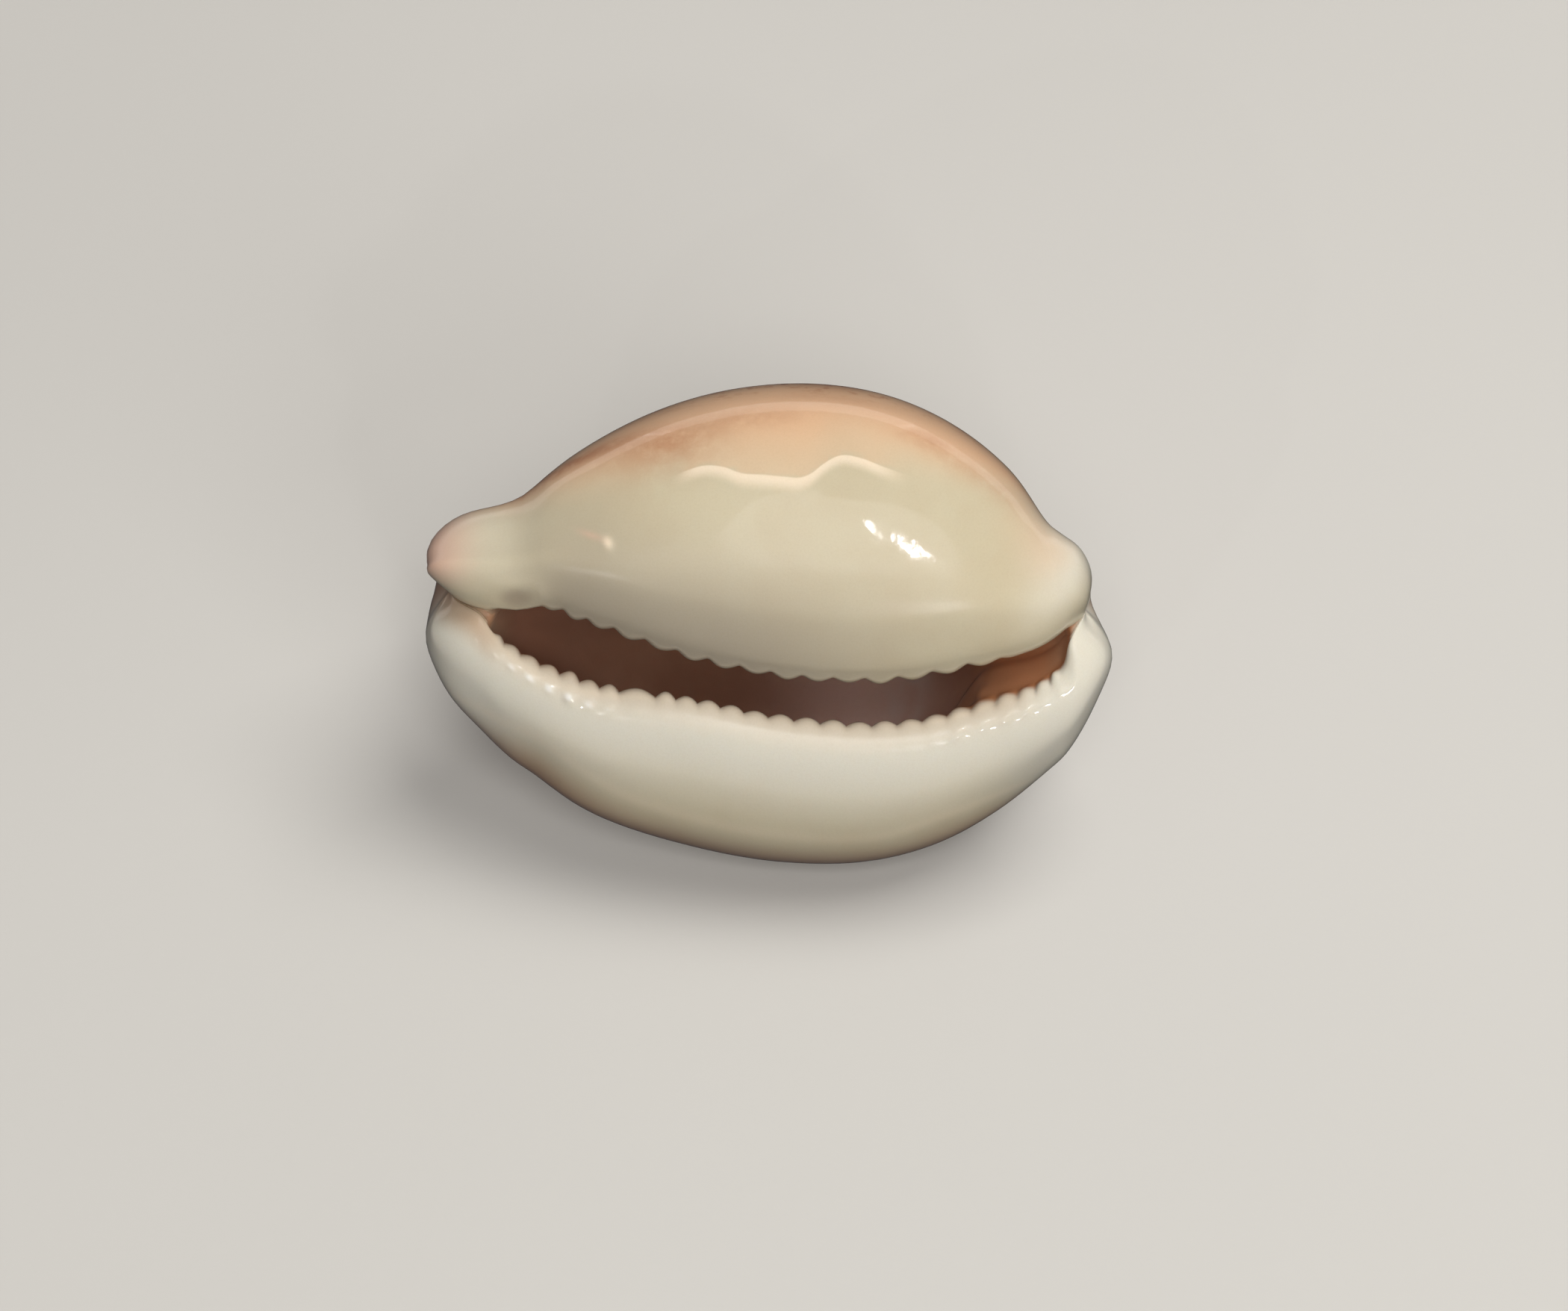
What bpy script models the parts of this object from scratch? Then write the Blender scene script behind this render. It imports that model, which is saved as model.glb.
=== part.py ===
"""Cowrie shell, lying on its back and outer lip with the toothed slit facing up and forward.

The shell grew as one piece, so it is one closed solid: a loft of C-shaped sections from the
front canal to the spire end. Each section runs once round the wall: over the back, down the
outer lip, past its teeth into the hollow, across the roof and out again over the inner lip.

Shell frame, in millimetres: x to the spire end, y to the outer lip, z to the back.
"""

import math

import bmesh
import bpy
import numpy as np
from mathutils import Euler, Matrix, Vector

# Length. The back is highest a little behind the middle.
HALF_LENGTH = 20.3
PEAK_X = 2.5

# Height of the section centre over the base, and how far the base arches up at either end.
CENTRE_HEIGHT = 7.25
CENTRE_HEIGHT_END = 5.2
ARCH_FRONT = 2.8
ARCH_REAR = 2.05
ARCH_POWER = 2.15

# The swollen back: how far it reaches from the peak, and its half widths and height.
BACK_FRONT = 18.35
BACK_REAR = 15.15
BACK_LIP_SIDE = 12.65
BACK_INNER_SIDE = 13.8
BACK_HEIGHT = 14.65
BACK_DEPTH = 6.2
BACK_POWER_FRONT = 2.0
BACK_POWER_REAR = 2.25

# The thick rim under it, which runs out into two lobes at each end: middle, front and rear.
RIM_LIP_SIDE = (13.18, 5.7, 6.3)
RIM_INNER_SIDE = (9.8, 2.8, 5.2)
RIM_OVER = (3.85, 3.05, 3.05)
RIM_POWER = 2.25
RIM_LIP_POWER = 2.37
RIM_LIP_PEAK_X = -0.3

# Roundness of the sections over the back and under the base, and of the join of back and rim.
ROUND_BACK = 2.1
ROUND_BASE = 2.4
ROUND_JOIN = 7.0

# Each end closes in a rounded cap, which the mouth of its canal notches between the lobes.
CAP_LENGTH = 3.1
CAP_LENGTH_SPIRE = 5.2
CAP_POWER = 2.6
NOTCH_FRONT = 2.2
NOTCH_REAR = 2.0
NOTCH_WIDTH = 1.3
NOTCH_RUN = 7.0
LOBE_LEAD_FRONT = 0.6
LOBE_LEAD_REAR = 1.6

# The slit: where its two edges run along the base, at stations from the front to the spire end.
SLIT_X = (
    -20.0, -17.5, -16.2, -15.0, -14.0, -12.8, -10.0, -4.0, 2.0, 8.0, 13.0, 17.2, 18.2, 19.0, 20.0
)
SLIT_OUTER_EDGE = (
    -1.45, -1.25, -0.55, 0.2, 0.65, 1.15, 1.95, 2.3, 3.0, 2.9, 1.65, 0.0, -0.75, -1.9, -2.95
)
SLIT_INNER_EDGE = (
    -1.65, -1.75, -1.8, -1.9, -1.95, -2.3, -1.75, -0.3, 0.45, 0.15, -1.1, -2.2, -2.6, -2.9, -3.05
)

# Lips, wall and hollow. The wall thickens to the spire end, which holds most of the weight.
LIP = 1.7
LIP_END = 1.05
WALL_FRONT = 1.0
WALL_REAR = 1.8
WALL_RUN = 16.0
HOLLOW_FRONT = 16.5
HOLLOW_REAR = 12.5
HOLLOW_POWER = 2.6

# The canals run out into shallow grooves between these stations, where the lips almost meet.
GROOVE_DEPTH = 0.85
GROOVE_FRONT = (-15.0, -16.4)
GROOVE_REAR = (18.4, 19.4)

# Where the teeth stand along each lip: how many have gone by, and x. One broad tooth of the
# outer lip counts as two. The inner lip's fade out before the spire end.
OUTER_TEETH_AT = (
    (0, -16.0), (3.5, -12.0), (7, -8.0), (9, -5.9), (13.5, -0.1), (17.5, 5.8), (21.5, 11.4),
    (24.5, 15.3), (27, 17.9),
)
INNER_TEETH_AT = ((0, -12.8), (2.5, -9.3), (5.5, -3.95), (8.5, 1.45), (11.5, 6.8), (14.5, 12.6), (17, 17.2))
OUTER_TEETH, INNER_TEETH = OUTER_TEETH_AT[-1][0], INNER_TEETH_AT[-1][0]
BROAD_TOOTH = 7
INNER_FADE = (0.8, 0.95)
TOOTH_HALF_HEIGHT = 0.22
TOOTH_ROUNDNESS = 0.9
STATIONS_PER_OUTER_TOOTH = 4
CAP_STATIONS = 9

# Key points of half a section. Angles run up from the base round the centre. Each key has a
# share: 1 where it follows the stations of its own lip, 0.5 midway between the two lips.
OUTSIDE_KEYS = (
    (163, 0.58), (146, 0.67), (129, 0.78), (112, 0.89), (97, 0.97), (83, 1), (70, 1), (56, 1)
)
HOLLOW_KEYS = ((62, 1), (88, 1), (116, 0.85), (148, 0.66))
# Lip keys: out from the slit edge, up into the slit, undercut in the hollow, and the strength
# there of the outer and the inner teeth.
LIP_KEYS = (
    (2.6, 0.0, 0.0, 0.05, 0.0),
    (1.5, 0.0, 0.0, 0.3, 0.05),
    (0.55, 0.12, 0.0, 0.75, 0.5),
    (-0.05, 0.62, 0.0, 1.0, 1.0),
    (0.0, 1.25, 0.25, 0.5, 0.7),
    (0.05, 1.75, 1.85, 0.0, 0.1),
)
LIP_ANGLE = 14

# How it lies: turned about its long axis, pitched, and swung on the spot, in degrees; the
# distance of the small flat spot it rests on; and the point over the middle of its footprint.
ROLL = -120.0
PITCH = 2.3
SWING = -3.6
SEAT_DISTANCE = 16.9
FOOTPRINT_MIDDLE = (0.415, 7.755)

MM = 0.001
SHELL_COLOUR = (0.72, 0.61, 0.46, 1.0)
SHELL_ROUGHNESS = 0.22


def mix(a, b, share):
    return a + (b - a) * share


def eased(share):
    share = np.clip(share, 0, 1)
    return share * share * (3 - 2 * share)


def merged(a, b, sharpness=ROUND_JOIN):
    """The larger of two radii, with the crease between them rounded off."""
    a, b = np.maximum(a, 0), np.maximum(b, 0)
    return (a**sharpness + b**sharpness) ** (1 / sharpness)


def reach(x, peak, front, rear):
    """0 at the peak, 1 at either end."""
    return np.where(x < peak, (peak - x) / front, (x - peak) / rear)


def smooth_curve(stations, values, x):
    """A smooth curve through the values at the stations."""
    stations, values = np.array(stations), np.array(values)
    slopes = np.gradient(values, stations)
    i = np.clip(np.searchsorted(stations, x) - 1, 0, len(stations) - 2)
    step = stations[i + 1] - stations[i]
    t = np.clip((x - stations[i]) / step, 0, 1)
    start = (2 * t**3 - 3 * t**2 + 1) * values[i] + (t**3 - 2 * t**2 + t) * step * slopes[i]
    end = (3 * t**2 - 2 * t**3) * values[i + 1] + (t**3 - t**2) * step * slopes[i + 1]
    return start + end


class Section:
    """The sections' sizes along one line of key points, on one side: 1 outer lip, -1 inner lip.

    own_share of the line's stations are its own lip's, the rest the other lip's.
    """

    def __init__(self, x_outer, x_inner, side, own_share=1):
        self.side = side
        self.share = own_share if side > 0 else 1 - own_share
        x = self.x = mix(x_inner, x_outer, self.share)
        along = reach(x, PEAK_X, HALF_LENGTH + PEAK_X, HALF_LENGTH - PEAK_X)
        front = x < PEAK_X
        outer = smooth_curve(SLIT_X, SLIT_OUTER_EDGE, x)
        inner = smooth_curve(SLIT_X, SLIT_INNER_EDGE, x)
        self.middle = (outer + inner) / 2
        self.half_slit = (outer - inner) / 2
        self.centre = mix(CENTRE_HEIGHT, CENTRE_HEIGHT_END, along**1.6)
        self.arch = np.where(front, ARCH_FRONT, ARCH_REAR) * along**ARCH_POWER
        self.lip = mix(LIP, LIP_END, eased((along - 0.45) / 0.55))

        back_along = reach(x, PEAK_X, BACK_FRONT, BACK_REAR)
        power = np.where(front, BACK_POWER_FRONT, BACK_POWER_REAR)
        self.swell = np.sqrt(np.clip(1 - back_along**power, 0, 1))
        half_width = BACK_LIP_SIDE if side > 0 else BACK_INNER_SIDE
        self.back_out = (half_width - side * self.middle) * self.swell
        self.rim_out = self.rim(RIM_INNER_SIDE)
        if side > 0:
            self.rim_out = self.rim(RIM_LIP_SIDE, RIM_LIP_PEAK_X, RIM_LIP_POWER)
        self.rim_up = self.rim(RIM_OVER)

        cap = np.where(x < 0, CAP_LENGTH, mix(CAP_LENGTH_SPIRE, CAP_LENGTH, self.share))
        into_cap = np.clip((np.abs(x) - HALF_LENGTH + cap) / cap, 0, 1)
        self.closing = (1 - into_cap**CAP_POWER) ** (1 / 2.2)
        hollow_along = reach(x, PEAK_X, HOLLOW_FRONT + PEAK_X, HOLLOW_REAR - PEAK_X)
        self.hollow = np.sqrt(np.clip(1 - np.clip(hollow_along, 0, 1) ** HOLLOW_POWER, 0, 1))
        self.groove = eased((x - GROOVE_FRONT[0]) / (GROOVE_FRONT[1] - GROOVE_FRONT[0]))
        self.groove += eased((x - GROOVE_REAR[0]) / (GROOVE_REAR[1] - GROOVE_REAR[0]))

    def rim(self, sizes, peak=PEAK_X, power=RIM_POWER):
        size, front, rear = sizes
        along = reach(self.x, peak, HALF_LENGTH + peak, HALF_LENGTH - peak)
        return mix(np.where(self.x < peak, front, rear), size, 1 - along**power)

    def radius(self, angle):
        """Outside radius about the centre: the back and the rim, smoothly merged."""
        across, up = abs(math.sin(math.radians(angle))), abs(math.cos(math.radians(angle)))
        if angle >= 90:
            power, back, rim = ROUND_BACK, BACK_HEIGHT * self.swell, self.rim_up
        else:
            power, back, rim = ROUND_BASE, BACK_DEPTH * self.swell, self.centre - self.arch

        def oval(width, height):
            width, height = np.maximum(width, 1e-6), np.maximum(height, 1e-6)
            return ((across / width) ** power + (up / height) ** power) ** (-1 / power)

        return merged(oval(self.back_out, back), oval(self.rim_out, rim))

    def polar(self, angle, radius):
        y = self.side * radius * math.sin(math.radians(angle))
        return self.placed(self.middle + y, self.centre - radius * math.cos(math.radians(angle)))

    def outside(self, angle):
        return self.polar(angle, self.radius(angle))

    def inside(self, angle):
        wall = mix(WALL_FRONT, WALL_REAR, eased((self.x + WALL_RUN) / (2 * WALL_RUN)))
        wall *= 1 + 1.4 * min(max((120 - angle) / 60, 0), 1)
        room = self.hollow * (self.radius(angle) - wall)
        radius = merged(room, 0.95 * self.half_slit, 3)
        turn = math.radians(angle)
        y, z = self.side * radius * math.sin(turn), self.centre - radius * math.cos(turn)
        floor = self.base() + GROOVE_DEPTH * (1 - 0.25 * math.cos(turn))
        return self.placed(self.middle + y, mix(z, floor, self.groove))

    def base(self):
        """Height of the base beside the slit."""
        return self.centre - self.radius(LIP_ANGLE) * math.cos(math.radians(LIP_ANGLE))

    def lip_edge(self, out, up, undercut):
        out = self.half_slit + (out + undercut * self.hollow) * self.lip
        up = up * self.lip
        up = mix(up, GROOVE_DEPTH * (1 - np.exp(-up / GROOVE_DEPTH)), self.groove)
        return self.placed(self.middle + self.side * out, self.base() + up)

    def placed(self, y, z):
        """Close the section into its cap, and draw the canal mouth back between the lobes."""
        y = self.middle + (y - self.middle) * self.closing
        z = self.centre + (z - self.centre) * self.closing
        from_mouth = np.hypot(y - self.middle, 0.8 * np.maximum(z - self.centre, 0))
        mouth = np.exp(-((from_mouth / NOTCH_WIDTH) ** 2))
        notch = np.where(self.x < 0, NOTCH_FRONT, -NOTCH_REAR) * mouth
        lead = np.where(self.x < 0, LOBE_LEAD_FRONT * self.share, -LOBE_LEAD_REAR * (1 - self.share))
        ends = eased((np.abs(self.x) - HALF_LENGTH + NOTCH_RUN) / NOTCH_RUN)
        return np.stack([self.x + ends * (notch + lead * (1 - mouth)), y, z], -1)


def half_section(x_outer, x_inner, side):
    """Key points and tooth strengths of one side, from the back round the lip to the roof."""
    keys = [Section(x_outer, x_inner, side, share).outside(angle) for angle, share in OUTSIDE_KEYS]
    lip = Section(x_outer, x_inner, side)
    keys += [lip.lip_edge(*key[:3]) for key in LIP_KEYS]
    keys += [Section(x_outer, x_inner, side, share).inside(angle) for angle, share in HOLLOW_KEYS]
    tooth = [key[3] if side > 0 else key[4] for key in LIP_KEYS]
    return keys, [0.0] * len(OUTSIDE_KEYS) + tooth + [0.0] * len(HOLLOW_KEYS)


def tooth_wave(slot):
    """Rounded teeth with narrow valleys between them: -1 in a valley, 1 on a crest."""
    return 2 * np.abs(np.sin(np.pi * slot)) ** TOOTH_ROUNDNESS - 1


def softened(keys):
    """The points of a closed cubic B-spline at its keys."""
    return (np.roll(keys, 1, 0) + 4 * keys + np.roll(keys, -1, 0)) / 6


def stations():
    """Where the sections cross the two lips, and each section's place along the teeth, 0 to 1."""
    count = OUTER_TEETH * STATIONS_PER_OUTER_TOOTH
    place = np.arange(count + 1) / count
    lips = []
    for teeth_at in (OUTER_TEETH_AT, INNER_TEETH_AT):
        toothed = smooth_curve(*zip(*teeth_at), place * teeth_at[-1][0])
        first, last = toothed[0], toothed[-1]
        cap = np.sin(np.pi / 2 * np.arange(1, CAP_STATIONS + 1) / CAP_STATIONS)
        front, rear = mix(first, -HALF_LENGTH, cap)[::-1], mix(last, HALF_LENGTH, cap)
        lips.append(np.concatenate([front, toothed, rear]))
    place = np.concatenate([np.full(CAP_STATIONS, 0.0), place, np.full(CAP_STATIONS, 1.0)])
    return lips[0], lips[1], place


def shell_rings():
    """The rings of points, front to spire end, with the teeth raised on both lips."""
    x_outer, x_inner, place = stations()
    outer_keys, outer_strengths = half_section(x_outer, x_inner, 1)
    inner_keys, inner_strengths = half_section(x_outer, x_inner, -1)
    crown = Section(x_outer, x_inner, 1, 0.5)
    keys = [crown.outside(180), *outer_keys, crown.inside(180), *inner_keys[::-1]]
    rings = np.stack(softened(np.array(keys)), 1)
    strengths = softened(np.array([0, *outer_strengths, 0, *inner_strengths[::-1]]))
    on_outer = np.arange(len(strengths)) < len(strengths) / 2

    along = np.gradient(rings, axis=0)
    around = np.roll(rings, -1, 1) - np.roll(rings, 1, 1)
    normal = np.cross(along, around)
    normal /= np.maximum(np.linalg.norm(normal, axis=-1, keepdims=True), 1e-9)
    fade = eased(place / 0.02) * eased((1 - place) / 0.02)
    slot = place * OUTER_TEETH
    broad = (slot > BROAD_TOOTH) & (slot < BROAD_TOOTH + 2)
    outer_wave = tooth_wave(np.where(broad, (slot - BROAD_TOOTH) / 2, slot)) * fade
    inner_fade = 1 - eased((place - INNER_FADE[0]) / (INNER_FADE[1] - INNER_FADE[0]))
    inner_wave = tooth_wave(place * INNER_TEETH) * fade * inner_fade
    wave = np.where(on_outer, outer_wave[:, None], inner_wave[:, None])
    return rings + normal * (TOOTH_HALF_HEIGHT * strengths * wave)[..., None]


def loft(bm, rings):
    """Skin the rings, and close each end on its last ring, which has shrunk to a point."""
    front = bm.verts.new(rings[0, 0])
    rear = bm.verts.new(rings[-1, 0])
    rows = [[bm.verts.new(point) for point in ring] for ring in rings[1:-1]]
    count = len(rows[0])
    for j in range(count):
        k = (j + 1) % count
        bm.faces.new((front, rows[0][j], rows[0][k]))
        bm.faces.new((rear, rows[-1][k], rows[-1][j]))
        for row, following in zip(rows, rows[1:]):
            bm.faces.new((row[j], following[j], following[k], row[k]))


def grind_seat(bm, down):
    """Cut the small flat spot that the shell rests on."""
    everything = bm.verts[:] + bm.edges[:] + bm.faces[:]
    bmesh.ops.bisect_plane(
        bm, geom=everything, dist=1e-5, plane_co=down * SEAT_DISTANCE, plane_no=down, clear_outer=True
    )
    bmesh.ops.holes_fill(bm, edges=[edge for edge in bm.edges if edge.is_boundary])


def shell_material():
    material = bpy.data.materials.new("Glossy shell")
    material.use_nodes = True
    shader = material.node_tree.nodes["Principled BSDF"]
    shader.inputs["Base Color"].default_value = SHELL_COLOUR
    shader.inputs["Roughness"].default_value = SHELL_ROUGHNESS
    shader.inputs["Coat Weight"].default_value = 0.5
    material.diffuse_color = SHELL_COLOUR
    return material


def make_shell(collection):
    lie = Euler((math.radians(ROLL), math.radians(PITCH), math.radians(SWING)))
    down = lie.to_matrix().inverted() @ Vector((0, 0, -1))
    bm = bmesh.new()
    loft(bm, shell_rings())
    grind_seat(bm, down)
    bm.transform(Matrix.Scale(MM, 4))
    mesh = bpy.data.meshes.new("cowrie_shell")
    bm.to_mesh(mesh)
    bm.free()
    mesh.shade_smooth()
    mesh.set_sharp_from_angle(angle=math.radians(50))
    mesh.materials.append(shell_material())
    shell = bpy.data.objects.new("cowrie_shell", mesh)
    shell.rotation_euler = lie
    shell.location = Vector((-FOOTPRINT_MIDDLE[0], -FOOTPRINT_MIDDLE[1], SEAT_DISTANCE)) * MM
    collection.objects.link(shell)


def main():
    for old in list(bpy.data.objects):
        bpy.data.objects.remove(old, do_unlink=True)
    collection = bpy.data.collections.new("Cowrie shell")
    bpy.context.scene.collection.children.link(collection)
    make_shell(collection)


main()
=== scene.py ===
import math

import bpy
import numpy as np
from bpy.props import FloatProperty, FloatVectorProperty, IntProperty, PointerProperty
from mathutils import Euler, Matrix, Vector


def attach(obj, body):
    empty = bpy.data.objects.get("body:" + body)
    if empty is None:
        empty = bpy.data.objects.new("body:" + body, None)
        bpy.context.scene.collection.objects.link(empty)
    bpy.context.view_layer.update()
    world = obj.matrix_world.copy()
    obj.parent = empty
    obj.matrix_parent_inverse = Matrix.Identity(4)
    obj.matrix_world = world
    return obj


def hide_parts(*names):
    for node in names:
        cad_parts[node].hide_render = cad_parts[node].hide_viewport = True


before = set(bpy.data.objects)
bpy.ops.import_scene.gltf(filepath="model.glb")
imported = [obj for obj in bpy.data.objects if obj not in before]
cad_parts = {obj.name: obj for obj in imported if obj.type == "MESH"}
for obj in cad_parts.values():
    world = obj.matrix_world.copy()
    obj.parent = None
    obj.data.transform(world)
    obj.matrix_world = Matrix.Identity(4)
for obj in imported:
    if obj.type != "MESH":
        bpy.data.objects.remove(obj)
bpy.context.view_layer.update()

bl_info = {
    "name": "Cowrie shell",
    "version": (1, 0, 0),
    "blender": (4, 5, 0),
    "location": "3D View > Sidebar > Cowrie",
    "description": "Grows a glossy cowrie shell, and sets a soft studio round it",
    "category": "Add Mesh",
}

MM = 0.001
SHELL = "cowrie_shell_dressed"

# The solid's own sizes, in millimetres, in the shell frame: x to the spire end, y to the outer
# lip, z to the back. A pair that is used as a ramp says where it is 0 and where it is 1.
HALF_LENGTH = 20.3
PEAK_X = 2.5
CENTRE_HEIGHT = 7.25
CENTRE_HEIGHT_END = 5.2
CENTRE_POWER = 1.6
ARCH_FRONT = 2.8
ARCH_REAR = 2.05
ARCH_POWER = 2.15
BACK_FRONT = 18.35
BACK_REAR = 15.15
BACK_LIP_SIDE = 12.65
BACK_INNER_SIDE = 13.8
BACK_HEIGHT = 14.65
BACK_DEPTH = 6.2
BACK_POWER_FRONT = 2.0
BACK_POWER_REAR = 2.25
RIM_LIP_SIDE = (13.18, 5.7, 6.3)
RIM_INNER_SIDE = (9.8, 2.8, 5.2)
RIM_OVER = (3.85, 3.05, 3.05)
RIM_POWER = 2.25
RIM_LIP_POWER = 2.37
RIM_LIP_PEAK_X = -0.3
ROUND_BACK = 2.1
ROUND_BASE = 2.4
ROUND_JOIN = 7.0
CAP_LENGTH = 3.1
CAP_LENGTH_SPIRE = 5.2
CAP_POWER = 2.6
CAP_ROUND = 2.2
NOTCH_FRONT = 2.2
NOTCH_REAR = 2.0
NOTCH_WIDTH = 1.3
NOTCH_STRETCH = 0.8
NOTCH_RUN = 7.0
LOBE_LEAD_FRONT = 0.6
LOBE_LEAD_REAR = 1.6
SLIT_X = (
    -20.0, -17.5, -16.2, -15.0, -14.0, -12.8, -10.0, -4.0, 2.0, 8.0, 13.0, 17.2, 18.2, 19.0, 20.0
)
SLIT_OUTER_EDGE = (
    -1.45, -1.25, -0.55, 0.2, 0.65, 1.15, 1.95, 2.3, 3.0, 2.9, 1.65, 0.0, -0.75, -1.9, -2.95
)
SLIT_INNER_EDGE = (
    -1.65, -1.75, -1.8, -1.9, -1.95, -2.3, -1.75, -0.3, 0.45, 0.15, -1.1, -2.2, -2.6, -2.9, -3.05
)
LIP = 1.7
LIP_END = 1.05
LIP_NARROWS = (0.45, 1.0)
WALL_FRONT = 1.0
WALL_REAR = 1.8
WALL_RUN = 16.0
WALL_BESIDE_SLIT = 1.4
WALL_THICKENS = (120, 60)
HOLLOW_OVER_SLIT = 0.95
HOLLOW_JOIN = 3
HOLLOW_FRONT = 16.5
HOLLOW_REAR = 12.5
HOLLOW_POWER = 2.6
GROOVE_DEPTH = 0.85
GROOVE_ROUND = 0.25
GROOVE_FRONT = (-15.0, -16.4)
GROOVE_REAR = (18.4, 19.4)
# Where the teeth stand along each lip: how many have gone by, and x. The broad one counts as two.
OUTER_TEETH_AT = (
    (0, -16.0), (3.5, -12.0), (7, -8.0), (9, -5.9), (13.5, -0.1), (17.5, 5.8), (21.5, 11.4),
    (24.5, 15.3), (27, 17.9),
)
INNER_TEETH_AT = (
    (0, -12.8), (2.5, -9.3), (5.5, -3.95), (8.5, 1.45), (11.5, 6.8), (14.5, 12.6), (17, 17.2),
)
OUTER_TEETH, INNER_TEETH = OUTER_TEETH_AT[-1][0], INNER_TEETH_AT[-1][0]
BROAD_TOOTH = 7
# The inner teeth are counted from here, so that each tooth has its own number.
INNER_SLOTS_FROM = 100
# Where the teeth begin, end, fade and are lower, by the place along them, 0 to 1.
TEETH_START, TEETH_END, INNER_FADE = (0.0, 0.02), (1.0, 0.98), (0.95, 0.8)
OUTER_RISE, OUTER_RISE_FROM = (0.0, 0.16), 0.5
OUTER_SINK, OUTER_SINK_TO = (0.3, 0.45), 0.78
LIP_ANGLE = 14
ROLL = -120.0
PITCH = 2.3
SWING = -3.6
SEAT_DISTANCE = 16.9
FOOTPRINT_MIDDLE = (0.415, 7.755)

# Key points of half a section, as in the solid, with the number of columns of the fine surface
# from each key to the next one. The slit's edge runs through one of the lip's keys.
OUTSIDE_KEYS = (
    (163, 0.58, 9), (146, 0.67, 9), (129, 0.78, 9), (112, 0.89, 9),
    (97, 0.97, 9), (83, 1, 9), (70, 1, 9), (56, 1, 9),
)
LIP_KEYS = (
    (2.6, 0.0, 0.0, 5), (1.5, 0.0, 0.0, 6), (0.55, 0.12, 0.0, 5),
    (-0.05, 0.62, 0.0, 4), (0.0, 1.25, 0.25, 4), (0.05, 1.75, 1.85, 4),
)
SLIT_EDGE_KEY = 3
HOLLOW_KEYS = ((62, 1, 5), (88, 1, 5), (116, 0.85, 5), (148, 0.66, 5))
CROWN_COLUMNS = 9
ROOF_COLUMNS = 5

# How strongly the teeth rise at a distance from the slit's edge: out over the base is positive.
# Distances over the largest one are not told apart.
FAR_FROM_LIP = 20.0
OUTER_REACH = (
    (-1.3, 0.0), (-0.8, 0.6), (-0.45, 1.0), (-0.1, 0.8), (0.2, 0.34), (0.5, 0.08), (0.9, 0.0), (2.2, 0.0),
)
INNER_REACH = (
    (-1.7, 0.0), (-0.9, 0.9), (-0.3, 1.15), (0.1, 0.9), (0.5, 0.4), (1.0, 0.1), (1.6, 0.0), (2.2, 0.0),
)
# A row of fine beads on the outer lip, one over each tooth, clearest at two places along it.
BEAD_DISTANCE, BEAD_WIDTH, BEAD_LEAST = 1.2, 0.3, 0.12
BEADS_CLEAR = ((0.13, 0.12, 1.0), (0.86, 0.14, 0.5))

# Where tight bends are eased, by the distance out from the slit's edge and by that from the middle.
EASE_OUT_FROM, EASE_OUT_TO, EASE_INSIDE = (1.4, 3.0), (9.0, 7.0), (-2.0, -4.0)
EASE_MIDDLE_X, EASE_ENDS, EASE_SLIT_ENDS = 0.5, (14.0, 17.0), (16.5, 18.0)
EASE_ROUNDS, EASE_END_ROUNDS, EASE_PAIR, EASE_LESS_AT_ENDS = 30, 40, (0.5, -0.52), 0.7

# The edge of the glaze on the inner lip's side: its height over the base at stations along the
# shell. Between the two ramps along x it stands up as a low wavy ridge, steeper above than below.
GLAZE = (
    (-19.5, 6.2), (-15.0, 4.4), (-11.0, 3.5), (-8.2, 3.4), (-6.0, 3.42), (-4.9, 3.62), (-4.1, 3.72),
    (-2.9, 3.6), (-1.9, 3.34), (-0.6, 3.27), (0.6, 3.23), (1.5, 3.24), (2.1, 3.42), (2.7, 3.78),
    (3.5, 4.15), (4.9, 4.14), (5.9, 3.96), (7.2, 3.82), (9.5, 3.9), (12.5, 4.4), (16.0, 5.6), (19.5, 7.0),
)
RIDGE_STARTS, RIDGE_ENDS = (-5.8, -4.2), (7.8, 5.2)
RIDGE_HEIGHT, RIDGE_BELOW, RIDGE_WIDTHS = 0.037, 0.15, (0.16, 0.55)
LIP_GLAZE = (
    (-19.5, 5.0), (-16.5, 3.2), (-13.0, 2.0), (-6.0, 1.5), (0.0, 1.35), (7.0, 1.45), (12.0, 1.7),
    (15.5, 3.0), (19.5, 6.4),
)
# Low waves, each with its place, width and height: a swell along each lip, the pit with its rim,
# and the crease over the inner teeth.
OUTER_SWELL, INNER_SWELL = ((8.0, 3.6, 0.5),), ((6.6, 3.2, 0.36),)
SWELL_STARTS, SWELL_ENDS = (-17.0, -8.0), (18.0, 10.0)
PIT_WAVES = ((0.0, 0.6, -0.12), (1.0, 0.4, 0.08))
PIT_AT, PIT_STRETCH = (-14.1, 1.2), 0.75
CREASE_WAVES = ((0.95, 0.2, -0.035), (1.45, 0.3, 0.02))
CREASE_STARTS, CREASE_ENDS = (-4.0, 0.0), (11.0, 7.0)
# The raised fleck and the drop at its end: x, distance from the slit's edge, half lengths, height.
FLECK, FLECK_SLANT = (-9.9, 6.0, 0.6, 0.2, 0.03), 0.25
DROP = (-9.05, 5.85, 0.3, 0.34, 0.1)
# Depths of the finish's slow waves, ripples and grain, in metres.
GLAZE_WAVES, GLAZE_RIPPLES, GRAIN_RELIEF = 0.00001, 0.0000016, 0.00001

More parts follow.
